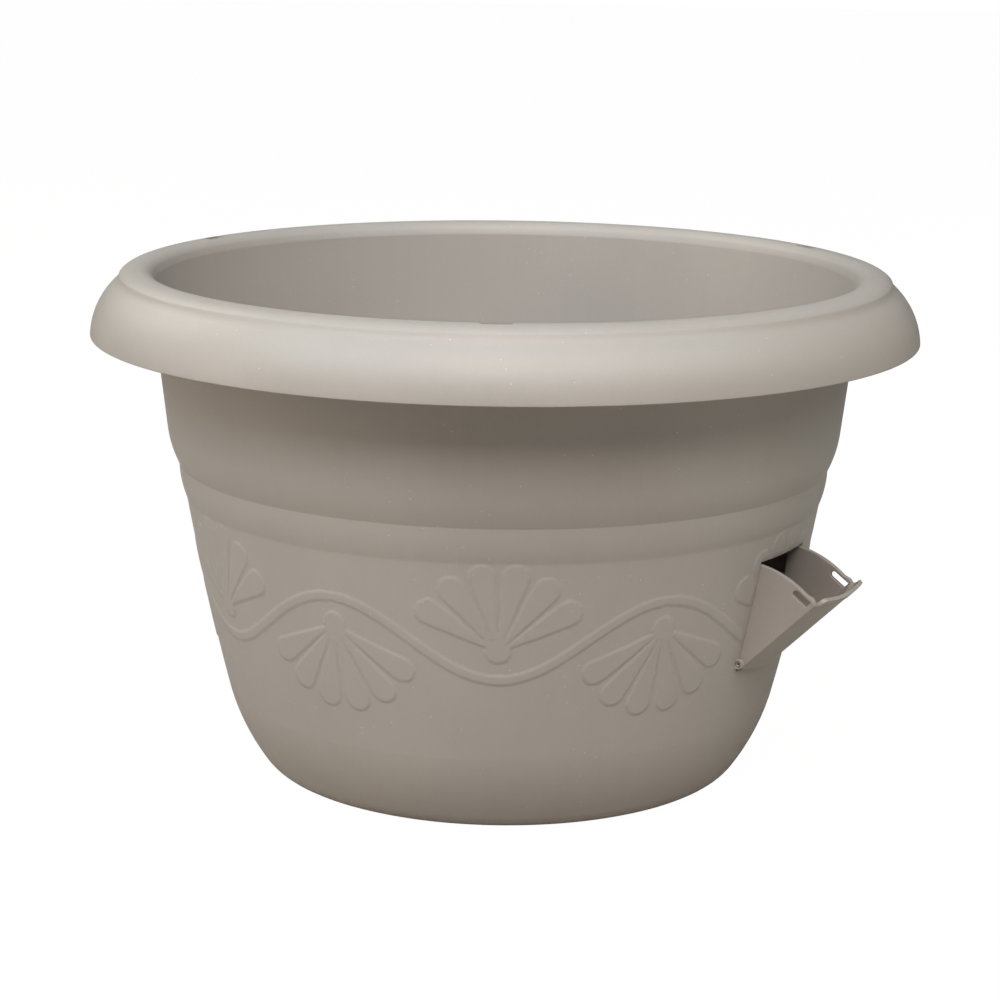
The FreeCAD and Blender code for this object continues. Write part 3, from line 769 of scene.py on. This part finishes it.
MAT_CROWN = [(0, 1.95), (20, 1.9), (40, 1.75), (58, 1.7)]
MAT_EDGE = [(1.2, 1.55), (0.7, 1.1), (0.7, 0.6), (1.2, 0.1)]
MAT_UNDERSIDE = [(40, 0.1), (0, 0.1)]
MAT_COLUMNS = 180
RIPPLE_COUNT, RIPPLE_DEPTH, LIFT_DEPTH, LIFT_COUNT = 6, 0.12, 0.15, 4
TONGUE_INNER, TONGUE_OUTER, TONGUE_HALF, TONGUE_TOP = 49.1, 50.9, 12, 0.6


def mat_unevenness(mat_radius):
    """A shaping function that gives the mat a wavy edge and lets its top rise and fall."""
    phases = np.random.default_rng(7).uniform(0, math.tau, RIPPLE_COUNT)

    def shape(radius, height, angles):
        waves = [np.sin((3 + 2 * i) * angles + phases[i]) for i in range(RIPPLE_COUNT)]
        ripple = sum(RIPPLE_DEPTH * wave for wave in waves)
        is_top = height > FLOOR_TOP + 1
        lift = LIFT_DEPTH * np.sin(LIFT_COUNT * angles + phases[0]) * is_top
        share = radius / mat_radius
        return radius + ripple * share, height + lift * share, angles

    return shape


def make_mat():
    """The felt disc and its two tongues that hang into the water."""
    low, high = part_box("capillary_mat")
    mat_radius, bottom = high.x / MM, low.z / MM
    edge = [(mat_radius - inset, over) for inset, over in MAT_EDGE]
    profile = MAT_CROWN + edge + MAT_UNDERSIDE
    rows = [(radius, FLOOR_TOP + over, MAT_COLUMNS) for radius, over in profile]
    bm = lathe(rows, mat_unevenness(mat_radius))
    for side in (-1, 1):
        near, far = sorted((side * TONGUE_INNER, side * TONGUE_OUTER))
        top = FLOOR_TOP + TONGUE_TOP
        box_between(bm, (-TONGUE_HALF, near, bottom), (TONGUE_HALF, far, top))
    mat = finish_mesh(bm, "felt_mat")
    mat.data.set_sharp_from_angle(angle=SHARP_ANGLE)
    return mat


# Materials ----------------------------------------------------------------------------------
# Scales are in cells per metre, or per metre along x, y and z; depths are shares of the colour's
# value, of the roughness, or of a millimetre of height.

TAUPE = (0.36, 0.322, 0.288)
CHARCOAL = (0.03, 0.03, 0.03)
GREY_FELT = (0.11, 0.115, 0.12)
WHITE = (1.0, 1.0, 1.0, 1.0)

NOISE_LOW, NOISE_HIGH = 0.3, 0.7
CLOUD_SCALE, CLOUD_DEPTH = 14.0, 0.03
MOTTLE_SCALE, MOTTLE_DEPTH = 900.0, 0.012
STREAK_SCALE = (170.0, 170.0, 7.0)
SPECK_SCALE, SPECK_EDGE, SPECK_CORE = 420.0, 0.1, 0.05
SPECK_GAIN, SPECK_LIFT = 2.2, 0.1
CLUSTER_SCALE, CLUSTER_RARE, CLUSTER_DENSE = 22.0, 0.97, 0.75
SCUFF_SCALE, SCUFF_LOW, SCUFF_HIGH = (30.0, 30.0, 60.0), -0.05, 0.06
GRAIN_SCALE, GRAIN_DEPTH = 2600.0, 0.02
WAVE_SCALE, WAVE_DEPTH = (40.0, 40.0, 25.0), 0.04
PLASTIC_IOR = 1.46

FIBRE_SCALES = [(2400.0, 500.0, 900.0), (500.0, 2400.0, 900.0)]
FIBRE_DETAIL, FIBRE_ROUGHNESS = 4.0, 0.7
CLUMP_SCALE, CLUMP_DEPTH = 220.0, 0.12
FIBRE_DARK, FIBRE_LIGHT = -0.35, 0.45
FELT_ROUGHNESS = 0.95


class Nodes:
    """Short hand for building a node tree."""

    def __init__(self, tree):
        self.tree = tree
        tree.nodes.clear()

    def add(self, kind, settings=None, **inputs):
        """A new node with its settings and its inputs; a space in an input's name is written _."""
        item = self.tree.nodes.new(kind)
        for name, value in (settings or {}).items():
            setattr(item, name, value)
        for name, value in inputs.items():
            self.feed(item, name.replace("_", " "), value)
        return item

    def feed(self, item, name, value):
        """Links or sets an input, found by its name or by its number as text."""
        socket = item.inputs[int(name)] if name.isdigit() else item.inputs[name]
        if isinstance(value, bpy.types.NodeSocket):
            self.tree.links.new(value, socket)
        else:
            socket.default_value = value

    def math(self, operation, first, second):
        """The result of a sum, product or comparison."""
        item = self.add("ShaderNodeMath", {"operation": operation})
        self.feed(item, "0", first)
        self.feed(item, "1", second)
        return item.outputs[0]

    def noise(self, where, scale, detail=2.0, roughness=0.5):
        """Cloudy noise from nought to one; scale is one number, or one for each axis."""
        if isinstance(scale, tuple):
            where = self.add("ShaderNodeMapping", Vector=where, Scale=scale).outputs[0]
            scale = 1.0
        inputs = {"Vector": where, "Scale": scale, "Detail": detail, "Roughness": roughness}
        return self.add("ShaderNodeTexNoise", **inputs).outputs["Fac"]

    def remap(self, value, low, high, to_low, to_high):
        """The value's range from low to high, spread over another range."""
        limits = {"From_Min": low, "From_Max": high, "To_Min": to_low, "To_Max": to_high}
        return self.add("ShaderNodeMapRange", Value=value, **limits).outputs[0]

    def swing(self, noise, low, high):
        """The usual range of a noise, spread over another range."""
        return self.remap(noise, NOISE_LOW, NOISE_HIGH, low, high)

    def tinted(self, colour, change):
        """A colour made lighter or darker by a share."""
        value = self.math("ADD", change, 1.0)
        return self.add("ShaderNodeHueSaturation", Color=(*colour, 1.0), Value=value).outputs[0]

    def mix(self, share, first, second):
        """A colour between two colours."""
        item = self.add("ShaderNodeMix", {"data_type": "RGBA"})
        self.feed(item, "0", share)
        self.feed(item, "6", first)
        self.feed(item, "7", second)
        return item.outputs[2]

    def finish(self, height, **inputs):
        """The surface with a bump, height being in millimetres."""
        bump = self.add("ShaderNodeBump", Strength=1.0, Distance=MM, Height=height).outputs[0]
        shader = self.add("ShaderNodeBsdfPrincipled", Normal=bump, **inputs).outputs[0]
        self.add("ShaderNodeOutputMaterial", Surface=shader)


def new_material(name):
    """A material with an empty node tree."""
    material = bpy.data.materials.new(name)
    material.use_nodes = True
    return material, Nodes(material.node_tree)


def plastic_shade(n, where, streaks):
    """How much lighter or darker the plastic is: faint clouds, flow streaks and mottling."""
    cloud = n.swing(n.noise(where, CLOUD_SCALE), -CLOUD_DEPTH, CLOUD_DEPTH)
    streak = n.swing(n.noise(where, STREAK_SCALE), -streaks, streaks)
    mottle = n.swing(n.noise(where, MOTTLE_SCALE), -MOTTLE_DEPTH, MOTTLE_DEPTH)
    return n.math("ADD", n.math("ADD", cloud, streak), mottle)


def plastic_specks(n, where, strength):
    """Sparse specks, denser in some places than in others."""
    cells = n.add("ShaderNodeTexVoronoi", Vector=where, Scale=SPECK_SCALE, Randomness=1.0)
    dot = n.remap(cells.outputs["Distance"], SPECK_CORE, SPECK_EDGE, 1.0, 0.0)
    lot = n.add("ShaderNodeSeparateColor", Color=cells.outputs["Color"]).outputs[0]
    cluster = n.noise(where, CLUSTER_SCALE)
    limit = n.remap(cluster, 0.35, 0.65, CLUSTER_RARE, CLUSTER_DENSE)
    chosen = n.math("GREATER_THAN", lot, limit)
    return n.math("MULTIPLY", n.math("MULTIPLY", dot, chosen), strength)


def plastic(name, colour, roughness=0.45, specks=0.45, streaks=0.008):
    """Moulded plastic with flow streaks, pale specks, soft scuffs and a fine satin grain."""
    material, n = new_material(name)
    where = n.add("ShaderNodeTexCoord").outputs["Object"]
    pale = (*(min(1.0, part * SPECK_GAIN + SPECK_LIFT) for part in colour), 1.0)
    tint = n.tinted(colour, plastic_shade(n, where, streaks))
    tint = n.mix(plastic_specks(n, where, specks), tint, pale)
    scuff = n.swing(n.noise(where, SCUFF_SCALE, 6.0, 0.7), SCUFF_LOW, SCUFF_HIGH)
    rough = n.math("ADD", scuff, roughness)
    grain = n.math("MULTIPLY", n.noise(where, GRAIN_SCALE), GRAIN_DEPTH)
    wave = n.math("MULTIPLY", n.noise(where, WAVE_SCALE), WAVE_DEPTH)
    n.finish(n.math("ADD", grain, wave), Base_Color=tint, Roughness=rough, IOR=PLASTIC_IOR)
    return material


def felt(name, colour):
    """Needled felt: tangled fibres, light and dark flecks, no shine."""
    material, n = new_material(name)
    where = n.add("ShaderNodeTexCoord").outputs["Object"]
    kind = FIBRE_DETAIL, FIBRE_ROUGHNESS
    clump = n.noise(where, CLUMP_SCALE, *kind)
    tangle = n.math("MAXIMUM", *(n.noise(where, scale, *kind) for scale in FIBRE_SCALES))
    fleck = n.remap(tangle, 0.35, 0.75, FIBRE_DARK, FIBRE_LIGHT)
    change = n.math("ADD", fleck, n.swing(clump, -CLUMP_DEPTH, CLUMP_DEPTH))
    height = n.math("ADD", n.math("MULTIPLY", tangle, 0.5), n.math("MULTIPLY", clump, 0.6))
    n.finish(height, Base_Color=n.tinted(colour, change), Roughness=FELT_ROUGHNESS)
    return material


def dress(piece, material):
    """Gives a piece one material."""
    piece.data.materials.clear()
    piece.data.materials.append(material)


# Studio -------------------------------------------------------------------------------------

LIGHT_AIM = Vector((0, 0, 0.1))

# Name, place, size, power in watts, colour.
LIGHTS = [
    ("key", (0.7, -1.21, 1.6), (1.4, 1.0), 33.0, (1.0, 0.93, 0.92)),
    ("front_left", (-0.64, -1.29, 1.6), (1.2, 1.2), 21.0, (0.7, 0.9, 1.0)),
    ("front_right", (1.44, -0.09, 1.6), (1.2, 1.2), 15.0, (0.9, 1.0, 0.97)),
    ("side_left", (-1.58, -1.26, 0.5), (1.0, 1.0), 11.0, (1.0, 0.85, 0.7)),
    ("back_left", (-1.61, 0.0, 1.3), (1.0, 1.0), 10.0, (1.0, 0.98, 0.9)),
    ("bounce", (0.33, 0.0, 0.02), (0.15, 0.15), 0.05, (0.95, 1.0, 0.93)),
    ("top", (0.15, -0.26, 1.6), (0.5, 0.5), 5.0, (0.75, 0.9, 1.0)),
]

FLOOR_RADIUS = 6.0
FLOOR_DROP = 0.0005
FLOOR_COLOUR = (0.42, 0.385, 0.35, 1.0)
FLOOR_GLOW, GLOW_STRENGTH = 0.95, 1.04
ROOM_AT_FLOOR, ROOM_ABOVE = 0.02, 0.05

# The camera's place in metres, and its turns in radians.
CAMERA_DISTANCE, CAMERA_HEIGHT = 1.008576, 0.325933
CAMERA_BEARING = math.radians(-60.0)
CAMERA_PITCH, CAMERA_YAW, CAMERA_ROLL = 0.222138, -0.001088, 0.012435
SENSOR_WIDTH, LENS_RATIO = 36.0, 2.79582


def area_light(name, place, size, power, colour):
    """A soft light that the camera doesn't see, aimed at the middle of the pot."""
    light = bpy.data.lights.new(name, "AREA")
    light.shape = "RECTANGLE"
    light.size, light.size_y = size
    light.energy = power
    light.color = colour
    lamp = bpy.data.objects.new(name, light)
    lamp.location = place
    lamp.rotation_euler = (LIGHT_AIM - Vector(place)).to_track_quat("-Z", "Y").to_euler()
    lamp.visible_camera = False
    bpy.context.scene.collection.objects.link(lamp)


def make_floor():
    """A matt floor that looks almost pure white to the camera and still takes a faint shadow."""
    bm = bmesh.new()
    bmesh.ops.create_circle(bm, cap_ends=True, segments=96, radius=FLOOR_RADIUS / MM)
    floor = finish_mesh(bm, "floor")
    floor.location.z = -FLOOR_DROP
    material, n = new_material("floor_white")
    seen = n.add("ShaderNodeLightPath").outputs["Is Camera Ray"]
    share = n.math("MULTIPLY", seen, FLOOR_GLOW)
    matt = n.add("ShaderNodeBsdfDiffuse", Color=FLOOR_COLOUR).outputs[0]
    glow = n.add("ShaderNodeEmission", Color=WHITE, Strength=GLOW_STRENGTH).outputs[0]
    shader = n.add("ShaderNodeMixShader", **{"0": share, "1": matt, "2": glow})
    n.add("ShaderNodeOutputMaterial", Surface=shader.outputs[0])
    dress(floor, material)


def make_world():
    """A dim room, a little lighter above than below, that is plain white to the camera."""
    world = bpy.data.worlds.new("studio")
    world.use_nodes = True
    n = Nodes(world.node_tree)
    way = n.add("ShaderNodeNewGeometry").outputs["Incoming"]
    height = n.add("ShaderNodeSeparateXYZ", Vector=way).outputs["Z"]
    level = n.remap(height, 0.2, -1.0, ROOM_AT_FLOOR, ROOM_ABOVE)
    seen = n.add("ShaderNodeLightPath").outputs["Is Camera Ray"]
    strength = n.add("ShaderNodeMix", {"data_type": "FLOAT"}, **{"0": seen, "2": level, "3": 1.0})
    sky = n.add("ShaderNodeBackground", Color=WHITE, Strength=strength.outputs[0])
    n.add("ShaderNodeOutputWorld", Surface=sky.outputs[0])
    bpy.context.scene.world = world


def camera_direction():
    """The way the camera looks: back past the pot's axis, and down by the pitch."""
    facing = CAMERA_BEARING + math.pi - CAMERA_YAW
    level = math.cos(CAMERA_PITCH)
    return Vector((math.cos(facing) * level, math.sin(facing) * level, -math.sin(CAMERA_PITCH)))


def make_camera():
    """The viewpoint: in front of the pot, to the right and above its rim, looking down a little."""
    camera = bpy.data.cameras.new("camera")
    camera.sensor_width = SENSOR_WIDTH
    camera.lens = SENSOR_WIDTH * LENS_RATIO
    camera.clip_start, camera.clip_end = 0.05, 50.0
    holder = bpy.data.objects.new("camera", camera)
    across = CAMERA_DISTANCE * math.cos(CAMERA_BEARING)
    back = CAMERA_DISTANCE * math.sin(CAMERA_BEARING)
    holder.location = (across, back, CAMERA_HEIGHT)
    holder.rotation_mode = "QUATERNION"
    roll = Matrix.Rotation(CAMERA_ROLL, 3, "Z").to_quaternion()
    holder.rotation_quaternion = camera_direction().to_track_quat("-Z", "Y") @ roll
    bpy.context.scene.collection.objects.link(holder)
    bpy.context.scene.camera = holder


# Assembly -----------------------------------------------------------------------------------

shell = make_shell()
dress(shell, plastic("shell_plastic", TAUPE))
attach(shell, "basket")
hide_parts("basket_shell")

hatch_plastic = plastic("hatch_plastic", TAUPE, streaks=0.015)
hatch_parts = make_hatch()
for part in hatch_parts:
    dress(part, hatch_plastic)
    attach(part, "hatch")
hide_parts("water_hatch")

mat = make_mat()
dress(mat, felt("felt", GREY_FELT))
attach(mat, "basket")
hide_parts("capillary_mat")

guide_plastic = plastic("guide_plastic", TAUPE, streaks=0.01)
insert_plastic = plastic("insert_plastic", CHARCOAL, roughness=0.4, specks=0.15)
dress(frame["nodes"]["water_guide"], guide_plastic)
dress(frame["nodes"]["reservoir_platform"], insert_plastic)

make_floor()
make_world()
make_camera()
for light in LIGHTS:
    area_light(*light)
bpy.context.scene.view_settings.view_transform = "Standard"
